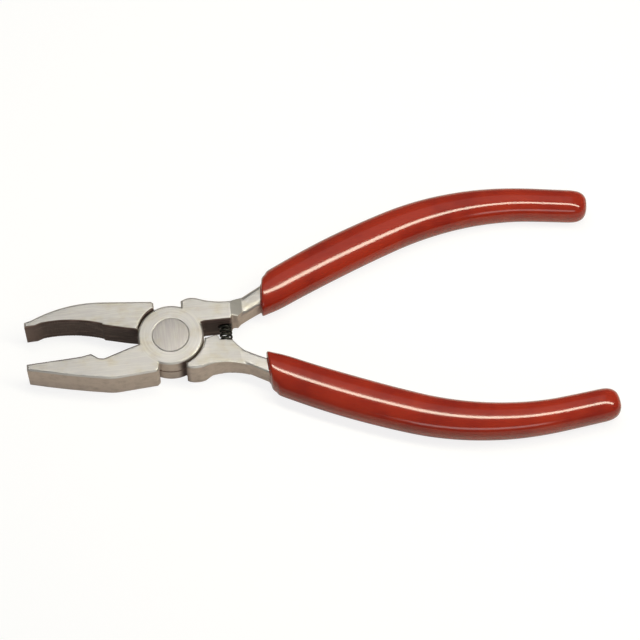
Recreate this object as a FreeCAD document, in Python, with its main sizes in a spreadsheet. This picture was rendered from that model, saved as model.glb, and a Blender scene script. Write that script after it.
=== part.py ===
import FreeCAD, Part
import math
import os
import Sketcher
from FreeCAD import Placement, Rotation, Vector

# Grozing pliers for stained glass, in millimetres.
#
# Two forged levers cross in a lap joint and turn on one flush rivet. The flat jaw lever owns the upper
# half of the lap, the curved jaw lever the lower half. A small coil spring in the throat behind the joint
# pushes the handles apart, and each lever's tang carries a dipped vinyl grip.
#
# Frame: the origin is on the pivot axis, level with the underside. +Z runs up along the rivet, +X from the
# pivot towards the handles midway between them, and +Y towards the handle of the flat jaw lever.

DIMENSIONS = {
    # joint
    "thickness": 9.5,
    "boss_radius": 8.85,
    "recess_radius": 9.2,
    "lap_gap": 0.05,
    "edge_chamfer": 0.4,
    "rivet_radius": 3.0,
    "countersink_depth": 1.95,
    "rivet_edge": 0.12,
    "running_clearance": 0.05,
    # return spring and its two blind seats
    "spring_x": 14.85,
    "spring_radius": 1.45,
    "spring_wire_radius": 0.32,
    "spring_turns": 8.0,
    "spring_end_gap": 0.05,
    "seat_radius": 1.9,
    "seat_floor_flat": 4.7,
    "seat_floor_curved": 4.8,
    # teeth across the bite of both jaws
    "tooth_pitch": 0.7,
    "tooth_width": 0.44,
    "tooth_depth": 0.2,
    "flat_teeth": 19.0,
    "curved_teeth": 22.0,
    # centre line of a tang and its grip: a slight bend, a fuller bend, then a straight end
    "handle_start_x": 17.0,
    "handle_start_y": 6.35,
    "handle_start_angle": 30.0,
    "handle_mid_angle": 20.0,
    "handle_end_angle_flat": -8.2,
    "handle_end_angle_curved": -7.4,
    "handle_first_length": 50.0,
    "handle_second_length": 41.2,
    "handle_third_length": 14.8,
    # tang sections
    "tang_outer_half_flat": 2.25,
    "tang_inner_half_flat": 3.05,
    "tang_depth_flat": 6.6,
    "tang_centre_flat": 4.6,
    "tang_corner_flat": 1.5,
    "tang_outer_half_curved": 2.0,
    "tang_inner_half_curved": 1.95,
    "tang_depth_curved": 6.4,
    "tang_centre_curved": 4.7,
    "tang_corner_curved": 0.6,
    "tang_length": 97.0,
    # grips
    "grip_width": 11.4,
    "grip_depth": 9.5,
    "grip_corner": 4.0,
    "grip_start": 9.7,
    "grip_mouth_angle": -4.6,
    "grip_end_round": 3.6,
}

# Plan outlines. Each row is a corner's name, its x, its y and the radius of the arc that leads to the next
# corner: 0 for a straight edge, positive where the arc's centre is on the left, negative on the right.
FLAT_JAW = (
    ("flat_tip_bite", -38.9, -4.7, 0),
    ("flat_bite_end", -24.3, -3.85, 0),
    ("flat_bite_peak", -21.6, -3.3, 0),
    ("flat_notch_front", -19.6, -4.8, 0),
    ("flat_notch_rear", -18.2, -5.0, 0),
    ("flat_bite_rear", -11.5, -2.65, 0),
    ("flat_jaw_root", -6.0, -0.95, 0),
    ("flat_shoulder_root", -3.8, -6.5, 0),
    ("flat_shoulder_wall", -3.8, -9.7, 0),
    ("flat_shoulder_back", -4.6, -10.5, 0),
    ("flat_knee_rear", -14.8, -11.33, -12.0),
    ("flat_knee_front", -17.82, -11.19, -240.0),
    ("flat_tip_outer", -38.9, -6.55, 0),
)
CURVED_JAW = (
    ("curved_tip_bite", -38.95, 6.1, 0),
    ("curved_lip_end", -36.0, 6.25, 0),
    ("curved_bite_front", -34.4, 6.88, -36.6),
    ("curved_bite_end", -18.2, 5.07, 0),
    ("curved_step", -17.9, 4.62, 0),
    ("curved_bite_rear", -11.4, 2.95, 0),
    ("curved_jaw_root", -6.0, 1.85, 0),
    ("curved_shoulder_root", -3.9, 6.5, 0),
    ("curved_shoulder_wall", -3.9, 10.1, 0),
    ("curved_shoulder_back", -4.5, 10.6, 0),
    ("curved_back_rear", -18.0, 11.85, 36.2),
    ("curved_back_front", -36.9, 8.35, 0),
    ("curved_tip_outer", -38.95, 7.8, 0),
)
FLAT_NECK = (
    ("flat_neck_root", 3.45, 6.5, 0),
    ("flat_neck_wall", 3.45, 9.9, 0),
    ("flat_crown_front", 4.2, 10.3, -4.87),
    ("flat_crown_rear", 8.3, 10.2, 20.0),
    ("flat_neck_bend_outer", 17.0, 8.7, 0),
    ("flat_neck_end_outer", 20.0, 10.0, 0),
    ("flat_neck_end_inner", 20.5, 6.2, 0),
    ("flat_neck_bend_inner", 18.4, 4.0, 0),
    ("flat_throat_end", 17.0, 4.2, 0),
    ("flat_throat_rear", 16.4, 3.05, 0),
    ("flat_throat_front", 9.3, 3.0, 0),
    ("flat_throat_root", 7.0, 2.2, 0),
)
CURVED_NECK = (
    ("curved_neck_root", 3.45, -6.5, 0),
    ("curved_neck_wall", 3.45, -9.9, 0),
    ("curved_crown_front", 4.2, -10.3, 7.0),
    ("curved_crown_rear", 8.3, -10.3, -17.0),
    ("curved_neck_end_outer", 20.3, -10.4, 0),
    ("curved_neck_end_inner", 21.0, -7.2, 0),
    ("curved_throat_end", 18.0, -4.5, 0),
    ("curved_floor_rear", 16.35, -2.5, 0),
    ("curved_floor_front", 13.05, -2.4, 0),
    ("curved_stop_rear", 12.85, -1.55, 0),
    ("curved_stop_top", 12.3, -0.95, 0),
    ("curved_stop_front", 9.6, -1.7, 0),
    ("curved_throat_root", 7.0, -1.5, 0),
)

# Side profiles, in x and z, of what is ground off each neck where it thins down to its tang.
FLAT_RELIEF_TOP = (
    ("flat_relief_edge", 16.6, 9.5, 0),
    ("flat_relief_low", 20.0, 7.85, 0),
    ("flat_relief_rear", 26.0, 7.85, 0),
    ("flat_relief_sky", 26.0, 11.0, 0),
    ("flat_relief_over", 16.6, 11.0, 0),
)
FLAT_RELIEF_BOTTOM = (
    ("flat_under_edge", 15.6, -0.05, 0),
    ("flat_under_high", 17.6, 1.35, 0),
    ("flat_under_rear", 26.0, 1.35, 0),
    ("flat_under_ground", 26.0, -1.5, 0),
    ("flat_under_below", 15.6, -1.5, 0),
)
CURVED_RELIEF_TOP = (
    ("curved_relief_edge", 9.9, 9.5, 0),
    ("curved_relief_low", 20.0, 7.6, 0),
    ("curved_relief_rear", 26.0, 7.6, 0),
    ("curved_relief_sky", 26.0, 11.0, 0),
    ("curved_relief_over", 9.9, 11.0, 0),
)
CURVED_RELIEF_BOTTOM = (
    ("curved_under_edge", 7.9, -0.05, 0),
    ("curved_under_step", 10.3, 1.8, 0),
    ("curved_under_flat", 18.0, 1.55, 0),
    ("curved_under_rear", 26.0, 1.55, 0),
    ("curved_under_ground", 26.0, -1.5, 0),
    ("curved_under_below", 7.9, -1.5, 0),
)
OUTLINES = (
    FLAT_JAW,
    CURVED_JAW,
    FLAT_NECK,
    CURVED_NECK,
    FLAT_RELIEF_TOP,
    FLAT_RELIEF_BOTTOM,
    CURVED_RELIEF_TOP,
    CURVED_RELIEF_BOTTOM,
)

# Stations along the centre line: distance from its start, then the width and the depth of the tang or the
# grip there, as shares of the full ones.
TANG_STATIONS = ((0.0, 0.92, 1.0), (9.0, 1.0, 1.0), (24.0, 1.3, 0.95), (45.0, 1.3, 0.9), (72.0, 1.2, 0.85))
TANG_END_SHARES = (1.0, 0.75)
GRIP_MOUTH_SHARES = (0.94, 1.0)
GRIP_STATIONS = (
    (16.0, 0.96, 1.0),
    (32.0, 1.0, 1.0),
    (46.0, 0.98, 1.0),
    (60.0, 0.935, 1.0),
    (74.0, 0.86, 0.985),
    (88.0, 0.785, 0.95),
)
GRIP_END_SHARES = (0.755, 0.93)
GRIP_END_STEPS = 4
GRIP_END_SWEEP = 80.0

FLAT_SIDE = 1
CURVED_SIDE = -1
# how far a tooth's cut starts outside the bite, so that it always opens the face
TOOTH_OVERSHOOT = 0.05
TOLERANCE = 1e-6

doc = FreeCAD.newDocument("grozing_pliers")


def make_sheet():
    """Put every driving dimension and every outline corner into one spreadsheet."""
    cells = dict(DIMENSIONS)
    for outline in OUTLINES:
        for name, x, y, radius in outline:
            cells[name + "_x"] = x
            cells[name + "_y"] = y
            if radius:
                cells[name + "_radius"] = abs(radius)
    sheet = doc.addObject("Spreadsheet::Sheet", "dims")
    for row, (name, value) in enumerate(cells.items(), start=1):
        sheet.set(f"A{row}", name)
        sheet.set(f"B{row}", str(value))
        sheet.setAlias(f"B{row}", name)
    doc.recompute()


def origin_plane(body, role):
    """The body's own origin plane of that role, such as XY_Plane."""
    return next(f for f in body.Origin.OriginFeatures if f.Role == role)


def new_body(label):
    """An empty body whose label names its node."""
    body = doc.addObject("PartDesign::Body", label)
    body.Label = label
    return body


def new_sketch(body, name, plane, offset=None):
    """An empty sketch on one of the body's origin planes, moved by an offset if one is given."""
    sketch = body.newObject("Sketcher::SketchObject", name)
    sketch.AttachmentSupport = [(origin_plane(body, plane), "")]
    sketch.MapMode = "FlatFace"
    if offset is not None:
        sketch.AttachmentOffset = offset
    return sketch


def bind(sketch, constraint, name, expression):
    """Add a constraint, name it and drive it by an expression."""
    index = sketch.addConstraint(constraint)
    sketch.renameConstraint(index, name)
    sketch.setExpression(f"Constraints.{name}", expression)


def arc_centre(start, end, radius):
    """Centre of the minor arc from start to end: left of the chord if radius is positive, else right."""
    chord = end - start
    left = Vector(-chord.y, chord.x, 0).normalize()
    rise = math.sqrt(radius**2 - chord.Length**2 / 4)
    return (start + end) * 0.5 + left * math.copysign(rise, radius)


def arc_edge(start, end, radius):
    """The minor arc between two points, as the counter-clockwise arc that a sketch stores."""
    centre = arc_centre(start, end, radius)
    first, last = (start, end) if radius > 0 else (end, start)
    angles = [math.atan2(p.y - centre.y, p.x - centre.x) for p in (first, last)]
    return Part.ArcOfCircle(Part.Circle(centre, Vector(0, 0, 1), abs(radius)), *angles)


def draw_outline(sketch, outline):
    """Draw a closed outline and tie each corner and each radius to its cells."""
    points = [Vector(x, y, 0) for _, x, y, _ in outline]
    ends = points[1:] + points[:1]
    radii = [radius for _, _, _, radius in outline]
    for start, end, radius in zip(points, ends, radii):
        sketch.addGeometry(arc_edge(start, end, radius) if radius else Part.LineSegment(start, end))
    for index, (name, x, y, radius) in enumerate(outline):
        start_vertex, end_vertex = (2, 1) if radius < 0 else (1, 2)
        following = (index + 1) % len(outline)
        next_vertex = 2 if radii[following] < 0 else 1
        sketch.addConstraint(
            Sketcher.Constraint("Coincident", index, end_vertex, following, next_vertex)
        )
        for axis, value in (("x", x), ("y", y)):
            distance = Sketcher.Constraint(f"Distance{axis.upper()}", -1, 1, index, start_vertex, value)
            bind(sketch, distance, f"{name}_{axis}", f"dims.{name}_{axis}")
        if radius:
            arc_radius = Sketcher.Constraint("Radius", index, abs(radius))
            bind(sketch, arc_radius, f"{name}_radius", f"dims.{name}_radius")


def draw_circle(sketch, x, y, radius, expressions):
    """Draw one circle and drive its centre and its radius by expressions, with None for zero."""
    sketch.addGeometry(Part.Circle(Vector(x, y, 0), Vector(0, 0, 1), radius))
    if expressions[0] is None and expressions[1] is None:
        sketch.addConstraint(Sketcher.Constraint("Coincident", 0, 3, -1, 1))
    else:
        for axis, value, expression in (("X", x, expressions[0]), ("Y", y, expressions[1])):
            if expression is None:
                sketch.addConstraint(Sketcher.Constraint("PointOnObject", 0, 3, -1 if axis == "Y" else -2))
            else:
                distance = Sketcher.Constraint(f"Distance{axis}", -1, 1, 0, 3, value)
                bind(sketch, distance, f"centre_{axis.lower()}", expression)
    bind(sketch, Sketcher.Constraint("Radius", 0, radius), "radius", expressions[2])


def draw_rounded_box(sketch, left, right, half_height, corner, expressions):
    """Draw a rectangle with round corners from -left to right and drive its sizes by expressions."""
    x_low, x_high = -left + corner, right - corner
    y_low, y_high = -half_height + corner, half_height - corner
    sides = (
        (Vector(x_low, half_height, 0), Vector(x_high, half_height, 0)),
        (Vector(right, y_high, 0), Vector(right, y_low, 0)),
        (Vector(x_high, -half_height, 0), Vector(x_low, -half_height, 0)),
        (Vector(-left, y_low, 0), Vector(-left, y_high, 0)),
    )
    for start, end in sides:
        sketch.addGeometry(Part.LineSegment(start, end))
    for side in range(4):
        sketch.addGeometry(arc_edge(sides[side][1], sides[(side + 1) % 4][0], -corner))
    for side in range(4):
        arc = 4 + side
        sketch.addConstraint(Sketcher.Constraint("Tangent", side, 2, arc, 2))
        sketch.addConstraint(Sketcher.Constraint("Tangent", arc, 1, (side + 1) % 4, 1))
        sketch.addConstraint(Sketcher.Constraint("Vertical" if side % 2 else "Horizontal", side))
        if side:
            sketch.addConstraint(Sketcher.Constraint("Equal", 4, arc))
    bind(sketch, Sketcher.Constraint("Radius", 4, corner), "corner", expressions["corner"])
    limits = (("Y", 0, half_height, "top"), ("X", 1, right, "right"), ("Y", 2, -half_height, "bottom"))
    for axis, side, value, name in limits + (("X", 3, -left, "left"),):
        distance = Sketcher.Constraint(f"Distance{axis}", -1, 1, side, 1, value)
        bind(sketch, distance, name, expressions[name])


def add_feature(body, kind, name, sketch, **properties):
    """Add a PartDesign feature that works on a sketch, and set its other properties."""
    feature = body.newObject(f"PartDesign::{kind}", name)
    feature.Profile = sketch
    for key, value in properties.items():
        setattr(feature, key, value)
    return feature


def finish_cut(body, volume_before):
    """Recompute and make sure that the last cut took material away."""
    doc.recompute()
    if body.Shape.Volume > volume_before - TOLERANCE:
        raise RuntimeError(f"a cut in {body.Label} removed nothing")


def pad_outline(body, name, outline):
    """Pad an outline to the full thickness of the joint."""
    sketch = new_sketch(body, name + "_outline", "XY_Plane")
    draw_outline(sketch, outline)
    pad = add_feature(body, "Pad", name, sketch)
    pad.setExpression("Length", "dims.thickness")


def pad_boss(body):
    """Pad the round boss about the pivot."""
    sketch = new_sketch(body, "boss_circle", "XY_Plane")
    draw_circle(sketch, 0, 0, DIMENSIONS["boss_radius"], (None, None, "dims.boss_radius"))
    pad = add_feature(body, "Pad", "boss", sketch)
    pad.setExpression("Length", "dims.thickness")


def level_edges(shape, height, radius=None):
    """Names of the edges that lie level at a height, or only the round ones of a given radius there."""
    names = []
    for number, edge in enumerate(shape.Edges, start=1):
        box = edge.BoundBox
        level = abs(box.ZMin - height) < TOLERANCE and abs(box.ZMax - height) < TOLERANCE
        if radius is not None and level:
            level = isinstance(edge.Curve, Part.Circle) and abs(edge.Curve.Radius - radius) < TOLERANCE
        if level:
            names.append(f"Edge{number}")
    return names


def chamfer_edges(body, name, edges, expression):
    """Chamfer some edges of the body's tip."""
    base = body.Tip
    chamfer = body.newObject("PartDesign::Chamfer", name)
    chamfer.Base = (base, edges)
    chamfer.setExpression("Size", expression)
    doc.recompute()


def pocket_circle(body, name, radius, depth, expressions, from_top):
    """Cut a round pocket about the pivot, up from the underside or down from the top."""
    offset = Placement(Vector(0, 0, DIMENSIONS["thickness"] if from_top else 0), Rotation())
    sketch = new_sketch(body, name + "_circle", "XY_Plane", offset)
    if from_top:
        sketch.setExpression("AttachmentOffset.Base.z", "dims.thickness")
    draw_circle(sketch, 0, 0, radius, (None, None, expressions[0]))
    volume = body.Shape.Volume
    pocket = add_feature(body, "Pocket", name, sketch, Length=depth, Reversed=not from_top)
    pocket.setExpression("Length", expressions[1])
    finish_cut(body, volume)


def cut_lap_joint(body, upper):
    """Cut away the other lever's half of the lap, then the rivet's hole with its countersink."""
    thickness = DIMENSIONS["thickness"]
    recess = DIMENSIONS["recess_radius"]
    clearance = DIMENSIONS["running_clearance"] if upper else 0
    hole = DIMENSIONS["rivet_radius"] + clearance
    hole_radius = "dims.rivet_radius" + (" + dims.running_clearance" if upper else "")
    recess_sizes = ("dims.recess_radius", "dims.thickness / 2 + dims.lap_gap / 2")
    pocket_circle(body, "lap_recess", recess, thickness / 2, recess_sizes, from_top=not upper)
    mouth = level_edges(body.Shape, 0 if upper else thickness, recess)
    chamfer_edges(body, "recess_edge", mouth, "dims.edge_chamfer")
    pocket_circle(body, "rivet_hole", hole, thickness, (hole_radius, "dims.thickness"), from_top=True)
    rim = level_edges(body.Shape, thickness if upper else 0, hole)
    chamfer_edges(body, "countersink", rim, "dims.countersink_depth")


def cut_side_profile(body, name, outline):
    """Cut a side profile right across the body."""
    sketch = new_sketch(body, name + "_profile", "XZ_Plane")
    draw_outline(sketch, outline)
    volume = body.Shape.Volume
    add_feature(body, "Pocket", name, sketch, Type="ThroughAll", Midplane=True)
    finish_cut(body, volume)


def cut_spring_seat(body, side, floor):
    """Bore the spring's blind seat into the wall of the throat, away from the centre line."""
    sketch = new_sketch(body, "spring_seat_circle", "XZ_Plane")
    centre = (DIMENSIONS["spring_x"], DIMENSIONS["thickness"] / 2)
    expressions = ("dims.spring_x", "dims.thickness / 2", "dims.seat_radius")
    draw_circle(sketch, *centre, DIMENSIONS["seat_radius"], expressions)
    volume = body.Shape.Volume
    seat = add_feature(
        body, "Pocket", "spring_seat", sketch, Length=DIMENSIONS[floor], Reversed=side < 0
    )
    seat.setExpression("Length", "dims." + floor)
    finish_cut(body, volume)


def tooth_groove(body, name, offset, surface, point):
    """Cut one V groove across a jaw, its mouth at surface and its point beyond it, along the local Y."""
    half = DIMENSIONS["tooth_width"] / 2
    mouth = surface + math.copysign(TOOTH_OVERSHOOT, surface - point)
    corners = (Vector(-half, mouth, 0), Vector(half, mouth, 0), Vector(0, point, 0))
    sketch = new_sketch(body, name + "_profile", "XY_Plane", offset)
    for start, end in zip(corners, corners[1:] + corners[:1]):
        sketch.addGeometry(Part.LineSegment(start, end))
    for index in range(3):
        sketch.addConstraint(Sketcher.Constraint("Coincident", index, 2, (index + 1) % 3, 1))
    sketch.addConstraint(Sketcher.Constraint("Symmetric", 0, 1, 0, 2, -2))
    sketch.addConstraint(Sketcher.Constraint("PointOnObject", 2, 1, -2))
    width = Sketcher.Constraint("DistanceX", 0, 1, 0, 2, 2 * half)
    bind(sketch, width, "width", "dims.tooth_width")
    sketch.addConstraint(Sketcher.Constraint("DistanceY", -1, 1, 2, 1, point))
    sketch.addConstraint(Sketcher.Constraint("DistanceY", -1, 1, 0, 1, mouth))
    volume = body.Shape.Volume
    groove = add_feature(body, "Pocket", name, sketch, Type="ThroughAll", Midplane=True)
    finish_cut(body, volume)
    return groove, sketch


def repeat_groove(body, kind, groove, properties, count):
    """Repeat a groove in a line or about a centre, and make the pattern the body's tip."""
    pattern = body.newObject(f"PartDesign::{kind}", groove.Name + "_row")
    pattern.Originals = [groove]
    for key, value in properties.items():
        setattr(pattern, key, value)
    pattern.setExpression("Occurrences", "dims." + count)
    volume = body.Shape.Volume
    body.Tip = pattern
    finish_cut(body, volume)
    return pattern


def cut_flat_teeth(body):
    """Teeth across the straight bite of the flat jaw."""
    (_, x_tip, y_tip, _), (_, x_end, y_end, _) = FLAT_JAW[:2]
    slope = math.atan2(y_end - y_tip, x_end - x_tip)
    pitch = DIMENSIONS["tooth_pitch"]
    start = Vector(x_tip + pitch * math.cos(slope), y_tip + pitch * math.sin(slope), 0)
    offset = Placement(start, Rotation(Vector(0, 0, 1), math.degrees(slope)))
    groove, sketch = tooth_groove(body, "tooth_groove", offset, 0, -DIMENSIONS["tooth_depth"])
    row = {"Direction": (sketch, ["H_Axis"]), "Length": (DIMENSIONS["flat_teeth"] - 1) * pitch}
    pattern = repeat_groove(body, "LinearPattern", groove, row, "flat_teeth")
    pattern.setExpression("Length", "(dims.flat_teeth - 1) * dims.tooth_pitch")


def cut_curved_teeth(body):
    """Teeth across the hollow bite of the curved jaw, spaced round its arc."""
    (_, x_front, y_front, radius), (_, x_rear, y_rear, _) = CURVED_JAW[2:4]
    centre = arc_centre(Vector(x_front, y_front, 0), Vector(x_rear, y_rear, 0), radius)
    bite = abs(radius)
    step = math.degrees(DIMENSIONS["tooth_pitch"] / bite)
    rear_angle = math.degrees(math.atan2(y_rear - centre.y, x_rear - centre.x))
    offset = Placement(centre, Rotation(Vector(0, 0, 1), rear_angle - 90 + step))
    groove, sketch = tooth_groove(body, "tooth_groove", offset, bite, bite + DIMENSIONS["tooth_depth"])
    sweep = (DIMENSIONS["curved_teeth"] - 1) * step
    repeat_groove(
        body, "PolarPattern", groove, {"Axis": (sketch, ["N_Axis"]), "Angle": sweep}, "curved_teeth"
    )


def side_name(side):
    """The word that tells one side's dimensions from the other's."""
    return "flat" if side == FLAT_SIDE else "curved"


def handle_point(side, distance):
    """Point and heading of a handle's centre line at a distance from its start, mirrored to +Y."""
    d = DIMENSIONS
    end_angle = d["handle_end_angle_" + side_name(side)]
    stretches = (
        (d["handle_first_length"], d["handle_start_angle"], d["handle_mid_angle"]),
        (d["handle_second_length"], d["handle_mid_angle"], end_angle),
        (d["handle_third_length"], end_angle, end_angle),
    )
    x, y = d["handle_start_x"], d["handle_start_y"]
    for length, first, last in stretches:
        run = min(distance, length)
        heading = first + (last - first) * run / length
        # a chord of an arc points along the mean of the headings at its two ends
        half_turn = math.radians(heading - first) / 2
        chord = run * math.sin(half_turn) / half_turn if half_turn else run
        x += chord * math.cos(math.radians((first + heading) / 2))
        y += chord * math.sin(math.radians((first + heading) / 2))
        distance -= run
        if distance <= 0:
            break
    return x, y, heading


def handle_length():
    """Whole length of the handle's centre line."""
    return sum(DIMENSIONS[f"handle_{part}_length"] for part in ("first", "second", "third"))


def section_offset(side, distance, height, heading=None):
    """Where a section plane stands across the handle, with its local X pointing to the inner side."""
    x, y, own_heading = handle_point(side, distance)
    angle = side * own_heading if heading is None else heading
    return Placement(Vector(x, height, -side * y), Rotation(Vector(0, 1, 0), angle - 90))


def tang_sections(body, side):
    """Sketches of the tang's rounded sections, from inside the neck to the tang's end."""
    parts = ("outer_half", "inner_half", "depth", "centre", "corner")
    names = {part: f"tang_{part}_{side_name(side)}" for part in parts}
    outer, inner, full_depth, centre, corner = (DIMENSIONS[name] for name in names.values())
    end = (DIMENSIONS["tang_length"],) + TANG_END_SHARES
    # local X points to the inner side on the flat side and to the outer side on the curved side
    left, right = (outer, inner)[::side]
    left_name, right_name = (names["outer_half"], names["inner_half"])[::side]
    sections = []
    for station, (distance, width, depth) in enumerate(TANG_STATIONS + (end,)):
        offset = section_offset(side, distance, centre)
        sketch = new_sketch(body, f"tang_section_{station}", "XZ_Plane", offset)
        sketch.setExpression("AttachmentOffset.Base.y", "dims." + names["centre"])
        expressions = {
            "left": f"-dims.{left_name} * {width}",
            "right": f"dims.{right_name} * {width}",
            "top": f"dims.{names['depth']} * {depth} / 2",
            "bottom": f"-dims.{names['depth']} * {depth} / 2",
            "corner": "dims." + names["corner"],
        }
        draw_rounded_box(sketch, left * width, right * width, full_depth * depth / 2, corner, expressions)
        sections.append(sketch)
    return sections


def grip_section(body, name, side, distance, shares, inset=0.0, heading=None):
    """Sketch of one grip section, its sides drawn in by an inset where the end rounds off."""
    d = DIMENSIONS
    width, depth = shares
    half_width = d["grip_width"] * width / 2 - inset
    half_depth = d["grip_depth"] * depth / 2 - inset
    offset = section_offset(side, distance, d["grip_depth"] / 2, heading)
    sketch = new_sketch(body, name, "XZ_Plane", offset)
    sketch.setExpression("AttachmentOffset.Base.y", "dims.grip_depth / 2")
    expressions = {
        "left": f"{inset} - dims.grip_width * {width} / 2",
        "right": f"dims.grip_width * {width} / 2 - {inset}",
        "top": f"dims.grip_depth * {depth} / 2 - {inset}",
        "bottom": f"{inset} - dims.grip_depth * {depth} / 2",
        "corner": f"dims.grip_corner - {inset}",
    }
    draw_rounded_box(sketch, half_width, half_width, half_depth, d["grip_corner"] - inset, expressions)
    return sketch


def grip_sections(body, side):
    """Sketches of the grip's sections, from its mouth on the dip line to where its end rounds off."""
    d = DIMENSIONS
    mouth = (d["grip_start"],) + GRIP_MOUTH_SHARES
    end = (handle_length() - d["grip_end_round"],) + GRIP_END_SHARES
    sections = []
    for station, (distance, *shares) in enumerate((mouth,) + GRIP_STATIONS + (end,)):
        heading = None if station else d["grip_mouth_angle"]
        name = f"grip_section_{station}"
        sections.append(grip_section(body, name, side, distance, shares, heading=heading))
    return sections


def grip_end_sections(body, side):
    """Sketches of the sections that close the grip's end along a quarter circle."""
    end_round = DIMENSIONS["grip_end_round"]
    start = handle_length() - end_round
    sections = []
    for step in range(GRIP_END_STEPS + 1):
        turn = math.radians(GRIP_END_SWEEP * step / GRIP_END_STEPS)
        inset = round(end_round * (1 - math.cos(turn)), 4)
        distance = start + end_round * math.sin(turn)
        name = f"end_section_{step}"
        sections.append(grip_section(body, name, side, distance, GRIP_END_SHARES, inset))
    return sections


def make_head(label, upper, jaw, neck):
    """Jaw, boss and neck of one lever, chamfered all round, with its half of the lap joint."""
    body = new_body(label)
    pad_boss(body)
    pad_outline(body, "jaw", jaw)
    pad_outline(body, "neck", neck)
    doc.recompute()
    faces = [level_edges(body.Shape, height) for height in (0, DIMENSIONS["thickness"])]
    chamfer_edges(body, "edges", faces[0] + faces[1], "dims.edge_chamfer")
    cut_lap_joint(body, upper)
    return body


def add_tang(body, side):
    """Loft the tang out of the neck."""
    sections = tang_sections(body, side)
    add_feature(body, "AdditiveLoft", "tang", sections[0], Sections=sections[1:])
    doc.recompute()


def make_flat_jaw_lever():
    """The forging with the flat jaw, the upper half of the lap and the handle on the +Y side."""
    body = make_head("flat_jaw_lever", True, FLAT_JAW, FLAT_NECK)
    cut_side_profile(body, "relief_top", FLAT_RELIEF_TOP)
    cut_side_profile(body, "relief_bottom", FLAT_RELIEF_BOTTOM)
    cut_spring_seat(body, FLAT_SIDE, "seat_floor_flat")
    cut_flat_teeth(body)
    add_tang(body, FLAT_SIDE)
    return body


def make_curved_jaw_lever():
    """The forging with the curved jaw, the lower half of the lap and the handle on the -Y side."""
    body = make_head("curved_jaw_lever", False, CURVED_JAW, CURVED_NECK)
    cut_side_profile(body, "relief_top", CURVED_RELIEF_TOP)
    cut_side_profile(body, "relief_bottom", CURVED_RELIEF_BOTTOM)
    cut_spring_seat(body, CURVED_SIDE, "seat_floor_curved")
    cut_curved_teeth(body)
    add_tang(body, CURVED_SIDE)
    return body


def make_grip(label, side):
    """Vinyl grip: a skin round the tang, open at its mouth and closed by a rounded end."""
    body = new_body(label)
    skin = grip_sections(body, side)
    add_feature(body, "AdditiveLoft", "skin", skin[0], Sections=skin[1:])
    end = grip_end_sections(body, side)
    add_feature(body, "AdditiveLoft", "rounded_end", end[0], Sections=end[1:])
    doc.recompute()
    tang = tang_sections(body, side)
    volume = body.Shape.Volume
    add_feature(body, "SubtractiveLoft", "tang_cavity", tang[0], Sections=tang[1:])
    finish_cut(body, volume)
    return body


def make_rivet():
    """Rivet with a countersunk head at each face, turned about the pivot axis."""
    d = DIMENSIONS
    body = new_body("pivot_rivet")
    shank, cone, edge, top = d["rivet_radius"], d["countersink_depth"], d["rivet_edge"], d["thickness"]
    head = shank + cone
    lower = ((0, 0), (head - 2 * edge, 0), (head - edge, edge), (shank, cone))
    upper = tuple((x, top - z) for x, z in reversed(lower))
    names = {
        0: ("0", "0"),
        1: ("dims.rivet_radius + dims.countersink_depth - 2 * dims.rivet_edge", "0"),
        2: ("dims.rivet_radius + dims.countersink_depth - dims.rivet_edge", "dims.rivet_edge"),
        3: ("dims.rivet_radius", "dims.countersink_depth"),
    }
    points = lower + upper
    sketch = new_sketch(body, "rivet_profile", "XZ_Plane")
    count = len(points)
    for index in range(count):
        start, end = points[index], points[(index + 1) % count]
        sketch.addGeometry(Part.LineSegment(Vector(*start, 0), Vector(*end, 0)))
    for index in range(count):
        sketch.addConstraint(Sketcher.Constraint("Coincident", index, 2, (index + 1) % count, 1))
    for index, (x, z) in enumerate(points):
        mirrored = index >= len(lower)
        x_name, z_name = names[count - 1 - index if mirrored else index]
        if x:
            distance = Sketcher.Constraint("DistanceX", -1, 1, index, 1, x)
            bind(sketch, distance, f"radius_{index}", x_name)
        else:
            sketch.addConstraint(Sketcher.Constraint("PointOnObject", index, 1, -2))
        if z:
            distance = Sketcher.Constraint("DistanceY", -1, 1, index, 1, z)
            bind(sketch, distance, f"height_{index}", f"dims.thickness - {z_name}" if mirrored else z_name)
        else:
            sketch.addConstraint(Sketcher.Constraint("PointOnObject", index, 1, -1))
    add_feature(body, "Revolution", "rivet", sketch, ReferenceAxis=(sketch, ["V_Axis"]), Angle=360)
    doc.recompute()
    return body


def make_spring():
    """Compression spring along Y, from the floor of one seat to the floor of the other."""
    d = DIMENSIONS
    body = new_body("return_spring")
    end_margin = d["spring_end_gap"] + d["spring_wire_radius"]
    margin = "(dims.spring_end_gap + dims.spring_wire_radius)"
    start = Vector(d["spring_x"], end_margin - d["seat_floor_curved"], d["thickness"] / 2)
    sketch = new_sketch(body, "wire_section", "XY_Plane", Placement(start, Rotation()))
    sketch.setExpression("AttachmentOffset.Base.x", "dims.spring_x")
    sketch.setExpression("AttachmentOffset.Base.y", f"{margin} - dims.seat_floor_curved")
    sketch.setExpression("AttachmentOffset.Base.z", "dims.thickness / 2")
    wire = ("dims.spring_radius", None, "dims.spring_wire_radius")
    draw_circle(sketch, d["spring_radius"], 0, d["spring_wire_radius"], wire)
    axis = (sketch, ["V_Axis"])
    coil = add_feature(body, "AdditiveHelix", "coil", sketch, ReferenceAxis=axis, Mode="height-turns-angle")
    coil.setExpression("Turns", "dims.spring_turns")
    coil.setExpression("Height", f"dims.seat_floor_curved + dims.seat_floor_flat - 2 * {margin}")
    doc.recompute()
    return body


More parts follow.
